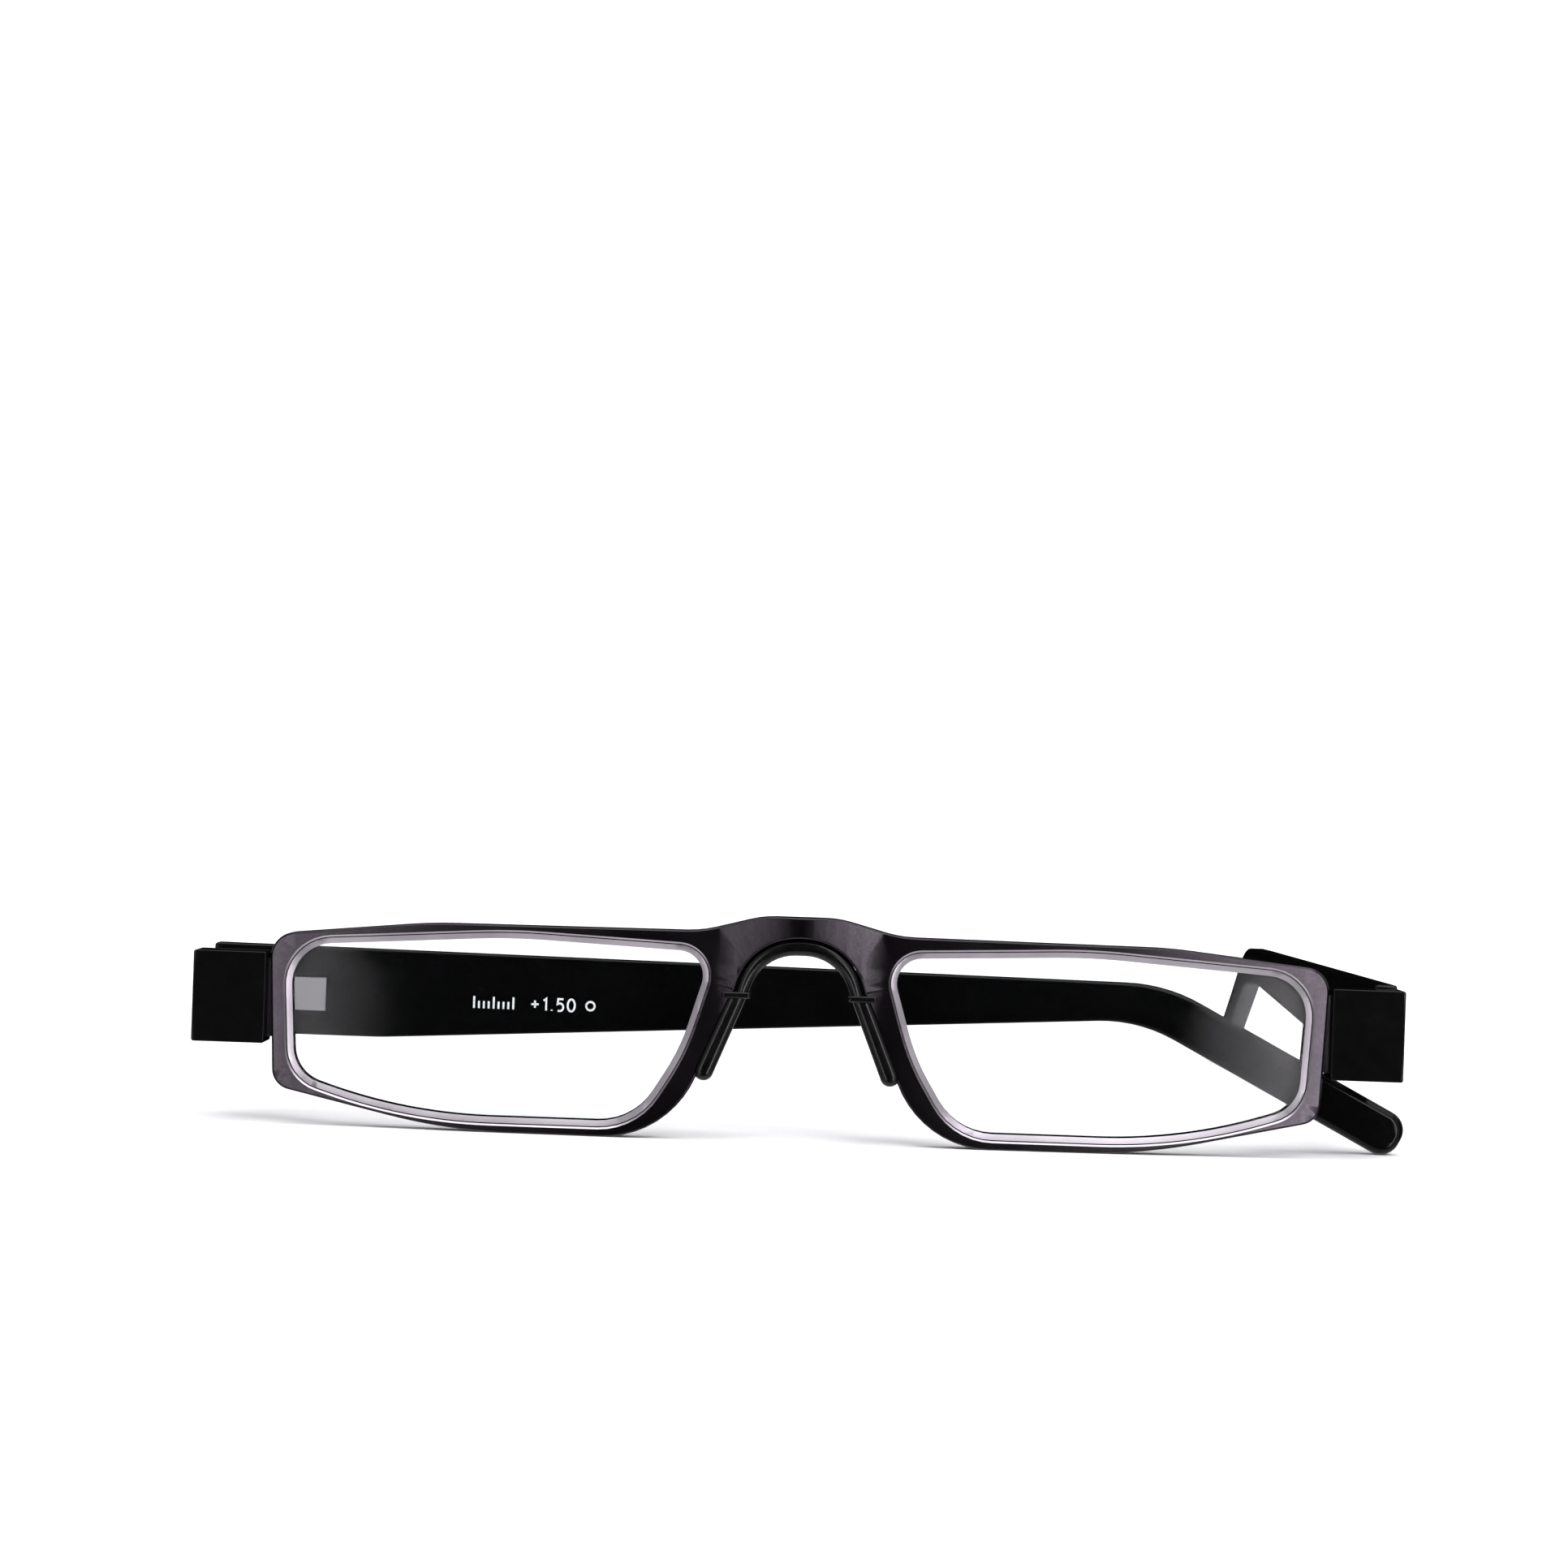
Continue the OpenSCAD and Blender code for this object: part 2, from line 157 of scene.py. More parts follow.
# shells are lists of (row of points, finish of the band that follows it), and each cap closes the
# flat area between the rows it names as (shell, row)
def makePiece(name, shells, caps, place, finishes, body, replaces=(), sliceAt=(), sharp=35):
    bm = bmesh.new()
    made = []
    for shell in shells:
        rows = [[bm.verts.new(point) for point in row] for row, finish in shell]
        made.append(rows)
        for upper, lower, (points, finish) in zip(rows, rows[1:], shell):
            for k in range(len(upper)):
                face = bm.faces.new((upper[k - 1], upper[k], lower[k], lower[k - 1]))
                face.material_index = finish
    for cap in caps:
        edges = []
        for shellNo, rowNo in cap:
            row = made[shellNo][rowNo]
            edges += [bm.edges.get((row[k - 1], row[k])) for k in range(len(row))]
        bmesh.ops.triangle_fill(bm, use_beauty=True, edges=edges)
    bmesh.ops.remove_doubles(bm, verts=bm.verts, dist=0.0005)
    for x in sliceAt:
        everything = bm.verts[:] + bm.edges[:] + bm.faces[:]
        bmesh.ops.bisect_plane(bm, geom=everything, dist=0.0005, plane_co=(x, 0, 0), plane_no=(1, 0, 0))
    for vert in bm.verts:
        vert.co = place(*vert.co) * mm
    bmesh.ops.recalc_face_normals(bm, faces=bm.faces)
    mesh = bpy.data.meshes.new(name)
    bm.to_mesh(mesh)
    bm.free()
    return finishPiece(name, mesh, finishes, body, replaces, sharp)


def finishPiece(name, mesh, finishes, body, replaces=(), sharp=35):
    mesh.shade_smooth()
    mesh.set_sharp_from_angle(angle=math.radians(sharp))
    for finish in finishes:
        mesh.materials.append(finish)
    piece = bpy.data.objects.new(name, mesh)
    bpy.context.collection.objects.link(piece)
    normals = piece.modifiers.new("faceNormals", "WEIGHTED_NORMAL")
    normals.keep_sharp = True
    normals.weight = 90
    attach(piece, body)
    if replaces:
        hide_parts(*replaces)
    return piece


def fromHex(colour):
    values = [int(colour[k:k + 2], 16) / 255 for k in (1, 3, 5)]
    return tuple(v / 12.92 if v <= 0.04045 else ((v + 0.055) / 1.055) ** 2.4 for v in values) + (1.0,)


def perMetre(sizeMm):
    return 1000 / sizeMm


# settings are properties or input values, and links give an input its (node, output)
def addNode(tree, kind, settings=None, links=None):
    node = tree.nodes.new(kind)
    for key, value in (settings or {}).items():
        if isinstance(key, int) or key in node.inputs:
            node.inputs[key].default_value = value
        else:
            setattr(node, key, value)
    for key, (source, output) in (links or {}).items():
        tree.links.new(source.outputs[output], node.inputs[key])
    return node


def newMaterial(name):
    material = bpy.data.materials.new(name)
    material.use_nodes = True
    tree = material.node_tree
    tree.nodes.clear()
    coordinates = addNode(tree, "ShaderNodeTexCoord")
    return material, tree, coordinates


def finishMaterial(tree, shader):
    addNode(tree, "ShaderNodeOutputMaterial", links={"Surface": (shader, 0)})


# Satin enamel sprayed on a zinc-alloy front: near black, with a fine pebbled grain that breaks up
# every reflection, and a faint violet cast where light grazes it
def makeSprayedEnamel():
    enamel = {"dark": "#1f1d1f", "light": "#353136", "grainMm": 0.34, "cloudMm": 9.0}
    material, tree, place = newMaterial("satinBlackSprayedEnamel")
    grain = addNode(tree, "ShaderNodeTexNoise",
                    {"Scale": perMetre(enamel["grainMm"]), "Detail": 3.0, "Roughness": 0.6},
                    {"Vector": (place, "Object")})
    cloud = addNode(tree, "ShaderNodeTexNoise", {"Scale": perMetre(enamel["cloudMm"]), "Detail": 2.0},
                    {"Vector": (place, "Object")})
    colour = addNode(tree, "ShaderNodeMix",
                     {"data_type": "RGBA", 6: fromHex(enamel["dark"]), 7: fromHex(enamel["light"])},
                     {0: (grain, 0)})
    rough = addNode(tree, "ShaderNodeMapRange",
                    {"From Min": 0.3, "From Max": 0.7, "To Min": 0.17, "To Max": 0.22},
                    {"Value": (cloud, 0)})
    bump = addNode(tree, "ShaderNodeBump", {"Strength": 0.2, "Distance": 0.00001}, {"Height": (grain, 0)})
    shader = addNode(tree, "ShaderNodeBsdfPrincipled",
                     {"Metallic": 0.95},
                     {"Base Color": (colour, 2), "Roughness": (rough, 0), "Normal": (bump, 0)})
    finishMaterial(tree, shader)
    return material


# The same alloy where a cutter has bared it round each lens: satin silver with fine tool chatter
def makeCutAlloy():
    cut = {"dark": "#858186", "light": "#aeaaaf", "chatterMm": 0.5, "cloudMm": 6.0}
    material, tree, place = newMaterial("silverCutAlloy")
    chatter = addNode(tree, "ShaderNodeTexNoise",
                      {"Scale": perMetre(cut["chatterMm"]), "Detail": 4.0, "Roughness": 0.65},
                      {"Vector": (place, "Object")})
    cloud = addNode(tree, "ShaderNodeTexNoise", {"Scale": perMetre(cut["cloudMm"]), "Detail": 1.0},
                    {"Vector": (place, "Object")})
    colour = addNode(tree, "ShaderNodeMix",
                     {"data_type": "RGBA", 6: fromHex(cut["dark"]), 7: fromHex(cut["light"])},
                     {0: (cloud, 0)})
    rough = addNode(tree, "ShaderNodeMapRange",
                    {"From Min": 0.3, "From Max": 0.7, "To Min": 0.28, "To Max": 0.42},
                    {"Value": (chatter, 0)})
    bump = addNode(tree, "ShaderNodeBump", {"Strength": 0.2, "Distance": 0.00002}, {"Height": (chatter, 0)})
    shader = addNode(tree, "ShaderNodeBsdfPrincipled", {"Metallic": 1.0},
                     {"Base Color": (colour, 2), "Roughness": (rough, 0), "Normal": (bump, 0)})
    finishMaterial(tree, shader)
    return material


# Black ABS from a polished mould: deep black with a tight shine, a slight ripple from the flow and
# faint handling marks that dull it in patches
def makeMouldedAbs():
    moulding = {"deep": "#050505", "worn": "#0b0b0c", "rippleMm": 9.0, "marksMm": 2.6}
    material, tree, place = newMaterial("polishedBlackMouldedAbs")
    ripple = addNode(tree, "ShaderNodeTexNoise", {"Scale": perMetre(moulding["rippleMm"]), "Detail": 1.0},
                     {"Vector": (place, "Object")})
    marks = addNode(tree, "ShaderNodeTexNoise",
                    {"Scale": perMetre(moulding["marksMm"]), "Detail": 5.0, "Roughness": 0.7,
                     "Distortion": 0.6},
                    {"Vector": (place, "Object")})
    colour = addNode(tree, "ShaderNodeMix",
                     {"data_type": "RGBA", 6: fromHex(moulding["deep"]), 7: fromHex(moulding["worn"])},
                     {0: (marks, 0)})
    rough = addNode(tree, "ShaderNodeMapRange",
                    {"From Min": 0.35, "From Max": 0.7, "To Min": 0.08, "To Max": 0.13},
                    {"Value": (marks, 0)})
    bump = addNode(tree, "ShaderNodeBump", {"Strength": 0.1, "Distance": 0.00003}, {"Height": (ripple, 0)})
    shader = addNode(tree, "ShaderNodeBsdfPrincipled", {"IOR": 1.46, "Specular IOR Level": 0.12},
                     {"Base Color": (colour, 2), "Roughness": (rough, 0), "Normal": (bump, 0)})
    finishMaterial(tree, shader)
    return material


# Moulded silicone rubber: a soft, slightly dusty black with a broad, dim shine
def makeSilicone():
    silicone = {"deep": "#030303", "dusty": "#070607", "grainMm": 0.22, "dustMm": 2.5}
    material, tree, place = newMaterial("satinBlackMouldedSilicone")
    grain = addNode(tree, "ShaderNodeTexNoise", {"Scale": perMetre(silicone["grainMm"]), "Detail": 2.0},
                    {"Vector": (place, "Object")})
    dust = addNode(tree, "ShaderNodeTexNoise",
                   {"Scale": perMetre(silicone["dustMm"]), "Detail": 4.0, "Roughness": 0.7},
                   {"Vector": (place, "Object")})
    colour = addNode(tree, "ShaderNodeMix",
                     {"data_type": "RGBA", 6: fromHex(silicone["deep"]), 7: fromHex(silicone["dusty"])},
                     {0: (dust, 0)})
    rough = addNode(tree, "ShaderNodeMapRange",
                    {"From Min": 0.3, "From Max": 0.7, "To Min": 0.17, "To Max": 0.25},
                    {"Value": (dust, 0)})
    bump = addNode(tree, "ShaderNodeBump", {"Strength": 0.25, "Distance": 0.00002}, {"Height": (grain, 0)})
    shader = addNode(tree, "ShaderNodeBsdfPrincipled", {"IOR": 1.41, "Specular IOR Level": 0.3},
                     {"Base Color": (colour, 2), "Roughness": (rough, 0), "Normal": (bump, 0)})
    finishMaterial(tree, shader)
    return material


# Brushed stainless steel: pale satin grey with fine lines across the temple
def makeBrushedStainless():
    stainless = {"dark": "#b5b1b5", "light": "#dedade", "lineMm": 0.12, "lineLengthMm": 6.0}
    material, tree, place = newMaterial("brushedStainlessSteel")
    stretch = addNode(tree, "ShaderNodeMapping",
                      {"Scale": (perMetre(stainless["lineMm"]), perMetre(stainless["lineMm"]),
                                 perMetre(stainless["lineLengthMm"]))},
                      {"Vector": (place, "Object")})
    lines = addNode(tree, "ShaderNodeTexNoise", {"Scale": 1.0, "Detail": 3.0, "Roughness": 0.6},
                    {"Vector": (stretch, 0)})
    colour = addNode(tree, "ShaderNodeMix",
                     {"data_type": "RGBA", 6: fromHex(stainless["dark"]), 7: fromHex(stainless["light"])},
                     {0: (lines, 0)})
    rough = addNode(tree, "ShaderNodeMapRange",
                    {"From Min": 0.3, "From Max": 0.7, "To Min": 0.5, "To Max": 0.6},
                    {"Value": (lines, 0)})
    bump = addNode(tree, "ShaderNodeBump", {"Strength": 0.2, "Distance": 0.00001}, {"Height": (lines, 0)})
    shader = addNode(tree, "ShaderNodeBsdfPrincipled", {"Metallic": 1.0},
                     {"Base Color": (colour, 2), "Roughness": (rough, 0), "Normal": (bump, 0)})
    finishMaterial(tree, shader)
    return material


# Turned carbon steel, nickel plated: bright, with tool rings stacked up the height of each part
def makeTurnedSteel():
    turned = {"dark": "#6f7073", "light": "#a9aaad", "ringMm": 0.276, "tarnishMm": 1.2}
    waveTurn = math.tau / 20  # the wave texture turns through 20 radians per unit
    material, tree, place = newMaterial("turnedNickelledSteel")
    rings = addNode(tree, "ShaderNodeTexWave",
                    {"bands_direction": "Z", "Scale": perMetre(turned["ringMm"]) * waveTurn,
                     "Distortion": 1.5, "Detail": 1.0},
                    {"Vector": (place, "Object")})
    tarnish = addNode(tree, "ShaderNodeTexNoise", {"Scale": perMetre(turned["tarnishMm"]), "Detail": 4.0},
                      {"Vector": (place, "Object")})
    colour = addNode(tree, "ShaderNodeMix",
                     {"data_type": "RGBA", 6: fromHex(turned["dark"]), 7: fromHex(turned["light"])},
                     {0: (tarnish, 0)})
    rough = addNode(tree, "ShaderNodeMapRange",
                    {"From Min": 0.0, "From Max": 1.0, "To Min": 0.22, "To Max": 0.36},
                    {"Value": (rings, 1)})
    bump = addNode(tree, "ShaderNodeBump", {"Strength": 0.15, "Distance": 0.00001}, {"Height": (rings, 1)})
    shader = addNode(tree, "ShaderNodeBsdfPrincipled", {"Metallic": 1.0},
                     {"Base Color": (colour, 2), "Roughness": (rough, 0), "Normal": (bump, 0)})
    finishMaterial(tree, shader)
    return material


# Cast resin lens, hard coated against reflections: clear, with a dim shine and faint wipe marks
def makeCastResin():
    resin = {"clear": "#f8fafa", "shine": "#ffffff", "coatedIor": 1.16, "wipeMm": 5.0}
    material, tree, place = newMaterial("coatedCastResinLens")
    wipes = addNode(tree, "ShaderNodeTexNoise",
                    {"Scale": perMetre(resin["wipeMm"]), "Detail": 4.0, "Distortion": 1.2},
                    {"Vector": (place, "Object")})
    rough = addNode(tree, "ShaderNodeMapRange",
                    {"From Min": 0.3, "From Max": 0.75, "To Min": 0.02, "To Max": 0.09},
                    {"Value": (wipes, 0)})
    through = addNode(tree, "ShaderNodeBsdfTransparent", {"Color": fromHex(resin["clear"])})
    shine = addNode(tree, "ShaderNodeBsdfAnisotropic", {"Color": fromHex(resin["shine"])},
                    {"Roughness": (rough, 0)})
    share = addNode(tree, "ShaderNodeFresnel", {"IOR": resin["coatedIor"]})
    shader = addNode(tree, "ShaderNodeMixShader",
                     links={0: (share, 0), 1: (through, 0), 2: (shine, 0)})
    finishMaterial(tree, shader)
    return material


# White pad-printed ink: flat and chalky, thinner in places so that the black shows a little
def makePrintInk():
    ink = {"thin": "#b9b9bb", "full": "#f2f2f3", "speckMm": 0.12}
    material, tree, place = newMaterial("whitePadPrintedInk")
    specks = addNode(tree, "ShaderNodeTexNoise", {"Scale": perMetre(ink["speckMm"]), "Detail": 2.0},
                     {"Vector": (place, "Object")})
    cover = addNode(tree, "ShaderNodeMapRange", {"From Min": 0.3, "From Max": 0.5}, {"Value": (specks, 0)})
    colour = addNode(tree, "ShaderNodeMix",
                     {"data_type": "RGBA", 6: fromHex(ink["thin"]), 7: fromHex(ink["full"])},
                     {0: (cover, 0)})
    shader = addNode(tree, "ShaderNodeBsdfPrincipled", {"Roughness": 0.6, "IOR": 1.48},
                     {"Base Color": (colour, 2)})
    finishMaterial(tree, shader)
    return material


# Matt photo-studio paper for the floor, with a barely visible tooth
def makeStudioPaper():
    paper = {"shade": "#f1f1f1", "light": "#f6f6f6", "toothMm": 1.5}
    material, tree, place = newMaterial("mattWhiteStudioPaper")
    tooth = addNode(tree, "ShaderNodeTexNoise", {"Scale": perMetre(paper["toothMm"]), "Detail": 2.0},
                    {"Vector": (place, "Object")})
    colour = addNode(tree, "ShaderNodeMix",
                     {"data_type": "RGBA", 6: fromHex(paper["shade"]), 7: fromHex(paper["light"])},
                     {0: (tooth, 0)})
    shader = addNode(tree, "ShaderNodeBsdfPrincipled", {"Roughness": 0.95, "Specular IOR Level": 0.1},
                     {"Base Color": (colour, 2)})
    finishMaterial(tree, shader)
    return material


enamel = makeSprayedEnamel()
cutAlloy = makeCutAlloy()
mouldedAbs = makeMouldedAbs()
silicone = makeSilicone()
stainless = makeBrushedStainless()
turnedSteel = makeTurnedSteel()
castResin = makeCastResin()
printInk = makePrintInk()
print("materials ready")


noseArch = Vector((5.9, 24.3))
archRadius = 7.5
noseMid = Vector((7.7, 18.0))
noseFoot = Vector((14.97, 0.0))
frontHalf = [(noseArch.x, noseArch.y, archRadius), (noseMid.x, noseMid.y, 3), (noseFoot.x, noseFoot.y, 12),
             (41, 0, 70), (62.4, 4.55, 2.5), (63.2, 22.6, 3), (44, 24.6, 60), (11.8, 24.85, 14),
             (4.5, 26.8, 12)]
lensOpening = [(18.7, 0.9, 8.5), (46.3, 0.8, 66), (60.8, 5.3, 5.4), (61.8, 22.3, 5.9), (34.5, 24.2, 80),
               (9.2, 23.2, 4), (13.1, 10.1, 27)]


def bowY(x):
    return x * x / (2 * front["bowRadius"])


# How far the bridge's ridge stands forward at x
def ridgeHeight(x):
    soft = front["ridgeSoftness"]
    reach = math.hypot(front["ridgeHalfWidth"], soft) - soft
    slope = front["ridgeProud"] / reach
    return max(0.0, front["ridgeProud"] - slope * (math.hypot(x, soft) - soft))


def placeOnFront(x, depth, z):
    fadeStart, fadeDepth = front["ridgeFade"]
    fade = max(0.0, 1 - max(0.0, depth - fadeStart) / fadeDepth)
    return Vector((x, rimFrontY + bowY(x) + depth - ridgeHeight(x) * fade, z))


def makeFront():
    bevel = {"lip": 0.2, "lipDepth": 0.16, "lean": 0.03, "gap": 0.13, "gapDepth": 0.27, "width": 1.0,
             "seatDepth": 0.58, "groove": 0.36, "chamfer": 0.35}
    thick = front["thickness"]
    edge = frontHalf + mirrorCorners(frontHalf)
    rows = slabRows(edge, 0.0, thick, front["edgeRound"], front["backRound"])
    shells = [[(row, 0) for row in rows]]
    caps = [[(0, 0)], [(0, len(rows) - 1)]]
    # each opening as (grow, depth, finish): bright lip, dark gap, silver slope, groove for the lens,
    # then a small back chamfer
    steps = [
        (0.0, 0.0, 1),
        (-bevel["lip"], bevel["lipDepth"], 0),
        (-bevel["lip"] - bevel["lean"], bevel["gapDepth"], 0),
        (-bevel["lip"] - bevel["gap"], bevel["gapDepth"], 1),
        (-bevel["width"], bevel["seatDepth"], 0),
        (-bevel["groove"], bevel["seatDepth"], 0),
        (-bevel["groove"], thick - bevel["seatDepth"], 0),
        (-bevel["width"], thick - bevel["seatDepth"], 0),
        (-bevel["width"], thick - bevel["chamfer"], 0),
        (-bevel["width"] + bevel["chamfer"], thick, 0),
    ]
    for side, corners in enumerate((lensOpening, mirrorCorners(lensOpening))):
        shells.append([(atDepth(outlineRing(corners, grow), depth), finish)
                       for grow, depth, finish in steps])
        caps[0].append((side + 1, 0))
        caps[1].append((side + 1, len(steps) - 1))
    # upright cuts let the flat faces follow the ridge and the bow, and lie closest at the ridge
    ridgeCuts = [0.3, 0.9, 1.5, 2.2, 3, 4, 5.5, 7.5, 9.5]
    slices = [-x for x in reversed(ridgeCuts)] + ridgeCuts
    slices += [side * x for side in (-1, 1) for x in range(12, 63, 3)]
    makePiece("FrontFrame", shells, caps, placeOnFront, (enamel, cutAlloy), "front",
              ["front_frame"], slices)


def makeLens(name, corners, node):
    lens = {"inset": 0.4, "front": 0.6, "back": 2.4, "crown": 0.22,
            "rings": (0.98, 0.93, 0.84, 0.7, 0.5, 0.3, 0.1)}
    outer = outlineRing(corners, -lens["inset"])
    middle = sum(outer, Vector((0, 0))) / len(outer)

    def surface(depth, towards):
        rows = []
        for share in lens["rings"]:
            ring = [middle.lerp(point, share) for point in outer]
            rows.append(atDepth(ring, depth + towards * lens["crown"] * (1 - share * share)))
        return rows

    rows = surface(lens["front"], -1)[::-1] + [atDepth(outer, lens["front"])]
    rows += [atDepth(outer, lens["back"])] + surface(lens["back"], -0.5)
    shell = [(row, 0) for row in rows]
    makePiece(name, [shell], [[(0, 0)], [(0, len(rows) - 1)]], placeOnFront, [castResin], "front",
              [node], sharp=60)


# A rounded bar on one side of the front, at a depth behind the rim's face
def makeBar(name, side, bar, finish):
    corners = rectangle(bar["x"], bar["z"], bar["corner"])
    near, far = bar["depth"]
    rows = slabRows(corners, near, far, bar["round"], bar["round"], step=3, cuts=bar["cuts"])
    makePiece(name, [[(row, 0) for row in rows]], [[(0, 0)], [(0, len(rows) - 1)]],
              lambda x, depth, z: Vector((side * x, rimFrontY + depth, z)), [finish], "front")


# The lugs that run from the rims into the end blocks
def makeLug(name, side):
    lug = {"x": (61.5, 64.0), "z": (10.3, 19.6), "depth": (3.5, 5.4), "corner": 0.2, "round": 0.15,
           "cuts": 2}
    makeBar(name, side, lug, enamel)


makeFront()
makeLens("LensLeft", lensOpening, "lens_left")
makeLens("LensRight", mirrorCorners(lensOpening), "lens_right")
makeLug("HingeLugRight", -1)
makeLug("HingeLugLeft", 1)
print("front made")


def makeSaddle():
    saddle = {"archWidth": 2.05, "padWidth": 1.7, "padOverlap": 0.6, "padBottom": 7.4, "proud": 0.4,
              "archBack": 4.2, "padBack": 7.8, "edge": 0.8, "blendStart": 15.6, "blendHeight": 2.4,
              "notch": 0.3}
    slope = (noseFoot - noseMid).normalized()
    inward = Vector((slope.y, -slope.x))
    archSlope = (noseMid - noseArch).normalized()
    archIn = Vector((archSlope.y, -archSlope.x))
    low = noseMid + slope * (noseMid.y - saddle["padBottom"]) / -slope.y
    archStart = noseArch + saddle["archWidth"] * archIn
    drop = saddle["archWidth"] - (noseArch.y - archStart.y)
    innerCorner = archStart + archSlope * drop / -archSlope.y
    padTop = noseMid + saddle["padWidth"] * inward
    padLow = low + saddle["padWidth"] * inward
    overlap = -saddle["padOverlap"] * inward
    notchTop = noseMid.y - saddle["notch"]
    half = [(innerCorner.x, innerCorner.y, archRadius - saddle["archWidth"]), (padTop.x, padTop.y, 2.5),
            (padLow.x, padLow.y, 1.15), (low.x + overlap.x, low.y + overlap.y, 1.1),
            (noseMid.x + overlap.x, notchTop + overlap.y, 0.3), (noseMid.x, notchTop, 0.3),
            (noseArch.x, noseArch.y, archRadius)]
    corners = half + mirrorCorners(half)
    span = saddle["padBack"] + saddle["proud"]
    rows = slabRows(corners, 0.0, span, saddle["edge"], saddle["edge"], step=0.8, cuts=5)

    # the arch is shallower than the pads, and runs into them in a curve
    def placeSaddle(x, depth, z):
        share = min(max((z - saddle["blendStart"]) / saddle["blendHeight"], 0.0), 1.0)
        share = share * share * (3 - 2 * share)
        back = saddle["padBack"] + (saddle["archBack"] - saddle["padBack"]) * share
        edge = saddle["edge"]
        stretch = (back + saddle["proud"] - 2 * edge) / (span - 2 * edge)
        if depth > edge:
            depth = edge + (min(depth, span - edge) - edge) * stretch + max(0.0, depth - (span - edge))
        return Vector((x, rimFrontY - saddle["proud"] + depth, z))

    makePiece("NoseSaddle", [[(row, 0) for row in rows]], [[(0, 0)], [(0, len(rows) - 1)]], placeSaddle,
              [silicone], "front", ["nose_saddle"])


# The small shelf where each pad starts
def makeCollar(name, side):
    collar = {"x": (5.8, 9.2), "z": (17.0, 17.8), "depth": (-0.62, 3.9), "corner": 0.3, "round": 0.25,
              "cuts": 3}
    makeBar(name, side, collar, silicone)


makeSaddle()
makeCollar("SaddleCollarRight", -1)
makeCollar("SaddleCollarLeft", 1)
print("nose saddle made")


def makeEndBlock(name, side, node, plateNode):
    block = {"corner": 0.3, "edge": 0.16, "pocketGap": 0.05, "pocketOuter": 69.2, "pocketCorner": 0.04,
             "pocketDepth": 0.85}
    low, high = (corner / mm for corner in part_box(node))
    plateLow, plateHigh = (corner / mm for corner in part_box(plateNode))
    gap = block["pocketGap"]
    outerX = max(abs(low.x), abs(high.x))
    innerX = min(abs(low.x), abs(high.x))
    plateX = (min(abs(plateLow.x), abs(plateHigh.x)) - gap, block["pocketOuter"] + gap)
    plateZ = (plateLow.z - gap, plateHigh.z + gap)
    corners = rectangle((innerX, outerX), (low.z, high.z), block["corner"])
    pocket = rectangle(plateX, plateZ, block["pocketCorner"])
    rows = slabRows(corners, low.y, high.y, block["edge"], block["edge"], step=4, cuts=3)
    walls = [atDepth(outlineRing(pocket, step=4), high.y),
             atDepth(outlineRing(pocket, step=4), high.y - block["pocketDepth"])]
    shells = [[(row, 0) for row in rows], [(row, 0) for row in walls]]
    caps = [[(0, 0)], [(0, len(rows) - 1), (1, 0)], [(1, 1)]]
    makePiece(name, shells, caps, lambda x, depth, z: Vector((side * x, depth, z)), [mouldedAbs], "front",
              [node])


makeEndBlock("EndBlockRight", -1, "end_block_right", "hinge_plate_right")
makeEndBlock("EndBlockLeft", 1, "end_block_left", "hinge_plate_left")
print("end blocks made")


temple = {
    "innerFace": 1.6,  # outward from the hinge axis
    "thickness": 2.6,
    "length": 142.0,
    "buttGap": 0.1,
    "butt": 3.7,
    "rootTop": 20.8,
    "rootBottom": 9.9,
    "earBend": 27.6,  # degrees
    "earWidth": 5.5,
    "earLength": 34.9,
    "tipRound": 2.4,
    "foldLean": 1.24,  # degrees past square when folded
    "armEdge": 0.3,
    "tipEdge": 0.95,
    "softenBefore": 8.0,  # the edge starts to soften this far before the ear bend
    "softenLength": 26.0,
    "pocketBack": (-2.1, 10.25),  # the pocket for the spring housing, in the inner face
    "pocketHeights": (12.85, 16.95),
    "pocketDepth": 2.05,
    "pocketCorner": 0.04,
}


# A point of a temple: distance back from the hinge, outward from its inner face, and height
def placeOpenLeft(back, outward, z):
    axis = hinges["left_fold"]
    return Vector((axis.x + temple["innerFace"] + outward, axis.y + back, z))


def placeFoldedRight(back, outward, z):
    axis = hinges["right_fold"]
    turn = math.radians(90 + temple["foldLean"])
    away = temple["innerFace"] + outward
    x = away * math.cos(turn) - back * math.sin(turn)
    y = away * math.sin(turn) + back * math.cos(turn)
    return Vector((axis.x - x, axis.y + y, z))


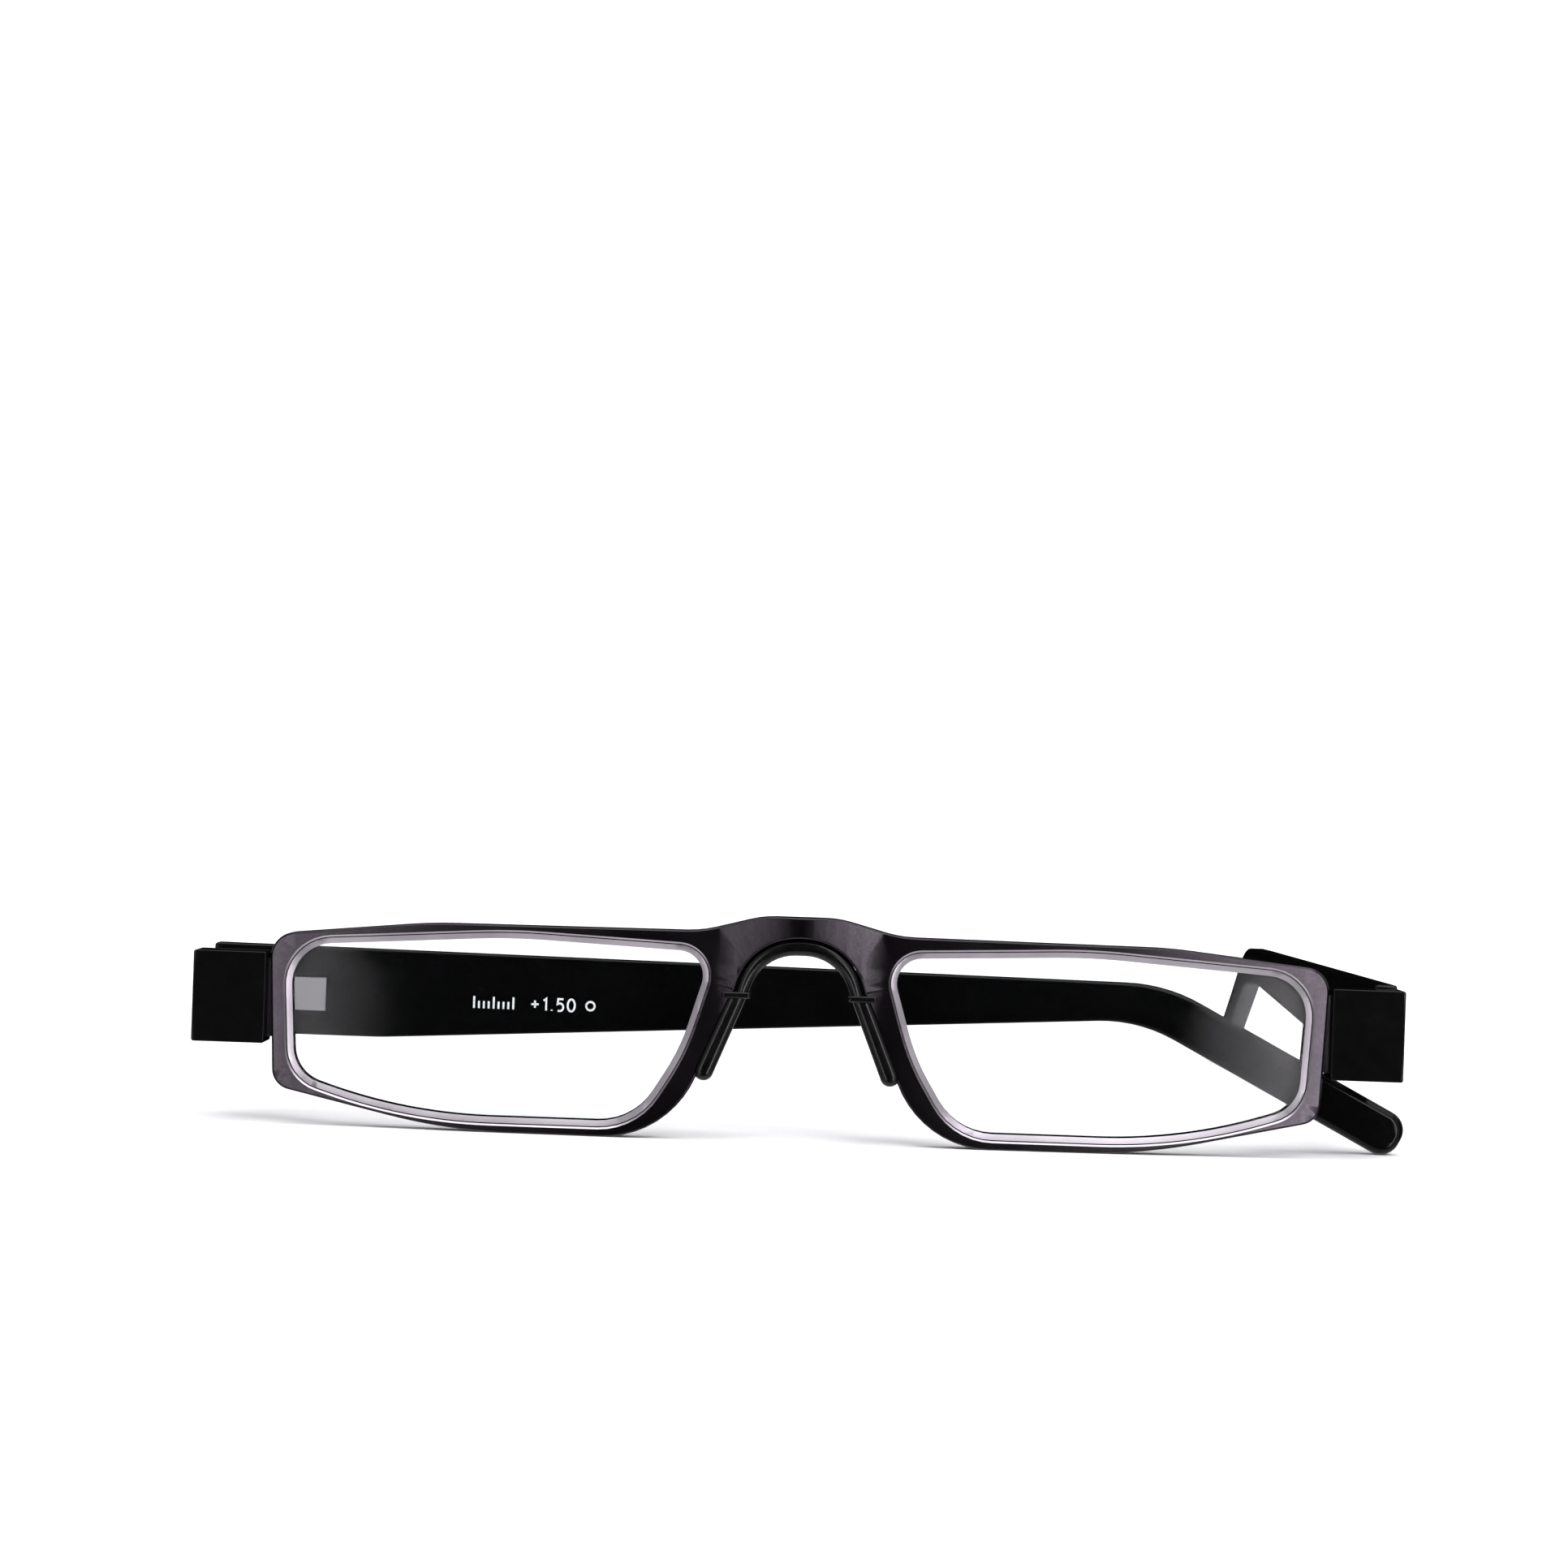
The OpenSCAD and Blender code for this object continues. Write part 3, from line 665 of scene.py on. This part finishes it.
def makeTemple(name, node, place, body):
    bend = math.radians(temple["earBend"])
    along = Vector((math.cos(bend), -math.sin(bend)))
    up = Vector((math.sin(bend), math.cos(bend)))
    r = temple["tipRound"]
    tipLow = Vector((temple["length"] - r - (temple["earWidth"] - 2 * r) * up.x, r)) + r * (along - up)
    tipHigh = tipLow + temple["earWidth"] * up
    earLow = tipLow - temple["earLength"] * along
    earHigh = tipHigh - (temple["earLength"] - 1) * along
    start = temple["buttGap"] - temple["butt"]
    corners = [(start, temple["rootBottom"], 0.4), (17, temple["rootBottom"], 60), (earLow.x, earLow.y, 18),
               (tipLow.x, tipLow.y, r), (tipHigh.x, tipHigh.y, r), (earHigh.x, earHigh.y, 20),
               (start, temple["rootTop"], 0.4)]

    # the inner face's edge (side 0) or the outer face's (side 1), crisp along the arm and rounder
    # on the ear tip
    def edgeRows(side):
        crisp = roundRows(corners, temple["armEdge"], side * temple["thickness"], 1 - 2 * side, cuts=5)
        soft = roundRows(corners, temple["tipEdge"], side * temple["thickness"], 1 - 2 * side, cuts=5)
        rows = []
        for crispRow, softRow in zip(crisp, soft):
            row = []
            for a, b in zip(crispRow, softRow):
                past = a[0] - earLow.x + temple["softenBefore"]
                share = min(max(past / temple["softenLength"], 0.0), 1.0)
                row.append(tuple(p + (q - p) * share for p, q in zip(a, b)))
            rows.append(row)
        return rows

    rows = edgeRows(0) + edgeRows(1)[::-1]
    pocket = rectangle(temple["pocketBack"], temple["pocketHeights"], temple["pocketCorner"])
    pocketRing = outlineRing(pocket, step=4)
    walls = [atDepth(pocketRing, 0.0), atDepth(pocketRing, temple["pocketDepth"])]
    shells = [[(row, 0) for row in rows], [(row, 0) for row in walls]]
    caps = [[(0, 0), (1, 0)], [(0, len(rows) - 1)], [(1, 1)]]
    makePiece(name, shells, caps, place, [mouldedAbs], body, [node])


makeTemple("TempleRight", "temple_right", placeFoldedRight, "arm_right")
makeTemple("TempleLeft", "temple_left", placeOpenLeft, "arm_left")
print("temples made")


# The print on the right temple: a scale of ticks, the lens power and a ring
def makePrint():
    inkMark = {"start": 28.4, "base": 13.9, "height": 1.45, "line": 0.24, "thick": 0.03, "sunk": 0.01,
               "pitch": 0.6, "shortTick": 0.6}
    h = inkMark["height"]
    proud, sunk = -inkMark["thick"], inkMark["sunk"]
    strokes = []
    for k in range(9):
        x = inkMark["pitch"] * k
        strokes.append([(x, 0.0), (x, h if k % 4 == 0 else inkMark["shortTick"] * h)])

    def placeMark(corner, out):
        return placeFoldedRight(inkMark["start"] + corner.x, out, inkMark["base"] + corner.y) * mm

    def glyph(x, points):
        strokes.append([(x + a * h, b * h) for a, b in points])

    glyph(7.0, [(0, 0.5), (0.62, 0.5)])
    glyph(7.0, [(0.31, 0.2), (0.31, 0.8)])
    glyph(8.5, [(0, 0.82), (0.22, 1), (0.22, 0)])
    glyph(9.5, [(0, 0), (0, 0.09)])
    bowl = [(0.27 + 0.29 * math.sin(a), 0.32 + 0.32 * math.cos(a))
            for a in [math.radians(d) for d in range(-35, 231, 19)]]
    glyph(10.1, [(0.56, 1), (0.12, 1), (0.08, 0.57)] + bowl)
    zero = [(0.3 + 0.3 * math.sin(a), 0.5 + 0.5 * math.cos(a)) for a in
            [math.tau * k / 20 for k in range(21)]]
    glyph(11.45, zero)
    glyph(13.5, [(0.5 + 0.36 * math.sin(a), 0.5 + 0.36 * math.cos(a)) for a in
                  [math.tau * k / 16 for k in range(17)]])

    bm = bmesh.new()
    for stroke in strokes:
        points = [Vector(point) for point in stroke]
        closed = (points[0] - points[-1]).length < 0.01
        if closed:
            points.pop()
        left, right = [], []
        for i, point in enumerate(points):
            before = points[i - 1] if closed or i else None
            after = points[(i + 1) % len(points)] if closed or i < len(points) - 1 else None
            a = (point - before).normalized() if before is not None else (after - point).normalized()
            b = (after - point).normalized() if after is not None else a
            side = Vector((-a.y - b.y, a.x + b.x)).normalized()
            reach = inkMark["line"] / 2 / max(0.5, side.dot(Vector((-a.y, a.x))))
            left.append(point + side * reach)
            right.append(point - side * reach)
        rings = []
        for p, q in zip(left, right):
            ring = [(p, proud), (q, proud), (q, sunk), (p, sunk)]
            rings.append([bm.verts.new(placeMark(corner, out)) for corner, out in ring])
        last = len(rings) if closed else len(rings) - 1
        for i in range(last):
            near, far = rings[i], rings[(i + 1) % len(rings)]
            for k in range(4):
                bm.faces.new((near[k - 1], near[k], far[k], far[k - 1]))
        if not closed:
            bm.faces.new(rings[0])
            bm.faces.new(rings[-1])
    bmesh.ops.recalc_face_normals(bm, faces=bm.faces)
    mesh = bpy.data.meshes.new("PowerPrint")
    bm.to_mesh(mesh)
    bm.free()
    finishPiece("PowerPrint", mesh, [printInk], "arm_right")


makePrint()
print("print made")


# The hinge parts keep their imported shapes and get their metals
hingeFinishes = {"hinge_steel": turnedSteel, "satin_silver": stainless}
for subpart in frame["record"]["subparts"]:
    if subpart["material_slot"] in hingeFinishes:
        piece = frame["nodes"][subpart["node"]]
        piece.data.materials.clear()
        piece.data.materials.append(hingeFinishes[subpart["material_slot"]])
print("hinges finished")


def makeFloor():
    floor = {"half": 12.0}
    mesh = bpy.data.meshes.new("floorPaper")
    corners = [(-1, -1), (1, -1), (1, 1), (-1, 1)]
    points = [(x * floor["half"], y * floor["half"], 0) for x, y in corners]
    mesh.from_pydata(points, [], [(0, 1, 2, 3)])
    mesh.materials.append(makeStudioPaper())
    paper = bpy.data.objects.new("floorPaper", mesh)
    paper.visible_glossy = False
    bpy.context.collection.objects.link(paper)


def aimAt(thing, target):
    thing.rotation_mode = "QUATERNION"
    thing.rotation_quaternion = (Vector(target) - thing.location).to_track_quat("-Z", "Y")


def addLight(name, kind, place, target, power, colour="#ffffff", **sizes):
    light = bpy.data.lights.new(name, kind)
    light.energy = power
    light.color = fromHex(colour)[:3]
    for key, value in sizes.items():
        setattr(light, key, value)
    lamp = bpy.data.objects.new(name, light)
    lamp.location = place
    lamp.visible_camera = False
    aimAt(lamp, target)
    bpy.context.collection.objects.link(lamp)


def makeLights():
    middle = (0, -0.06, 0.012)
    addLight("overheadSoftbox", "SUN", (0.1, -0.25, 1.0), (0, 0, 0), 3.3, angle=math.radians(70))
    addLight("frontSoftbox", "AREA", (0.28, -0.50, 0.42), middle, 0.6, "#f8f3ff", shape="RECTANGLE",
             size=0.24, size_y=0.24)


# A white backdrop for the camera. Reflections see dark walls in front and behind, with a pale screen on
# each side of them, a bright strip down each front screen's inner edge, and a pale ceiling and table.
def makeRoom():
    room = {"backdrop": "#ffffff", "wall": "#040404", "screen": "#f4f1f5", "above": "#d0ced2",
            "table": 0.8, "strip": "#fffaff", "leftStrip": 8.5, "rightStrip": 15.0}
    world = bpy.data.worlds.new("studioRoom")
    world.use_nodes = True
    tree = world.node_tree
    tree.nodes.clear()
    place = addNode(tree, "ShaderNodeTexCoord")
    parts = addNode(tree, "ShaderNodeSeparateXYZ", links={0: (place, "Generated")})
    aside = addNode(tree, "ShaderNodeMath", {"operation": "ABSOLUTE"}, {0: (parts, 0)})
    steep = addNode(tree, "ShaderNodeMath", {"operation": "ABSOLUTE"}, {0: (parts, 2)})
    across, along, up = (parts, 0), (parts, 1), (parts, 2)

    # each fade reads a share of the direction, and runs from a start to an end between two levels
    fades = {
        "screenInner": ((aside, 0), 0.32, 0.42, 0.0, 1.0),
        "screenOuter": ((aside, 0), 0.9, 0.8, 0.0, 1.0),
        "stripInner": ((aside, 0), 0.245, 0.33, 0.0, 1.0),
        "stripOuter": ((aside, 0), 0.42, 0.37, 0.0, 1.0),
        "stripEnds": ((steep, 0), 0.38, 0.28, 0.0, 1.0),
        "inFront": (along, 0.0, -0.3, 0.0, 1.0),
        "sides": (across, -0.1, 0.1, room["leftStrip"], room["rightStrip"]),
        "table": (up, -0.5, -0.7, 0.0, room["table"]),
        "above": ((steep, 0), 0.5, 0.72, 0.0, 1.0),
    }
    shares = {}
    for name, (source, start, end, low, high) in fades.items():
        limits = {"From Min": start, "From Max": end, "To Min": low, "To Max": high}
        shares[name] = addNode(tree, "ShaderNodeMapRange", limits, {"Value": source})
    products = (("screens", "screenInner", "screenOuter"), ("stripWidth", "stripInner", "stripOuter"),
                ("stripHeight", "stripEnds", "inFront"), ("strips", "stripWidth", "stripHeight"),
                ("litStrips", "strips", "sides"))
    for name, a, b in products:
        shares[name] = addNode(tree, "ShaderNodeMath", {"operation": "MULTIPLY"},
                               {0: (shares[a], 0), 1: (shares[b], 0)})

    power = addNode(tree, "ShaderNodeMath", {"operation": "ADD"},
                    {0: (shares["litStrips"], 0), 1: (shares["table"], 0)})
    level = addNode(tree, "ShaderNodeMix",
                    {"data_type": "RGBA", 6: fromHex(room["wall"]), 7: fromHex(room["screen"])},
                    {0: (shares["screens"], 0)})
    wall = addNode(tree, "ShaderNodeMix", {"data_type": "RGBA", 7: fromHex(room["above"])},
                   {0: (shares["above"], 0), 6: (level, 2)})
    glow = addNode(tree, "ShaderNodeBackground", links={"Color": (wall, 2)})
    strip = addNode(tree, "ShaderNodeBackground", {"Color": fromHex(room["strip"])},
                    {"Strength": (power, 0)})
    around = addNode(tree, "ShaderNodeAddShader", links={0: (glow, 0), 1: (strip, 0)})
    backdrop = addNode(tree, "ShaderNodeBackground", {"Color": fromHex(room["backdrop"]), "Strength": 1.1})
    path = addNode(tree, "ShaderNodeLightPath")
    shader = addNode(tree, "ShaderNodeMixShader",
                     links={0: (path, "Is Camera Ray"), 1: (around, 0), 2: (backdrop, 0)})
    addNode(tree, "ShaderNodeOutputWorld", links={"Surface": (shader, 0)})
    bpy.context.scene.world = world


def makeCamera():
    view = {"distance": 0.400, "x": -0.0027, "z": 0.0426, "rollDegrees": 2.0, "lensMm": 77.6}
    camera = bpy.data.objects.new("camera", bpy.data.cameras.new("camera"))
    camera.data.lens = view["lensMm"]
    camera.data.sensor_width = 36
    camera.data.clip_start = 0.01
    camera.location = (view["x"], rimFrontY * mm - view["distance"], view["z"])
    camera.rotation_euler = (math.pi / 2, math.radians(-view["rollDegrees"]), 0)
    bpy.context.collection.objects.link(camera)
    bpy.context.scene.camera = camera


makeFloor()
makeLights()
makeRoom()
makeCamera()
bpy.context.scene.view_settings.view_transform = "Standard"
print("studio ready")
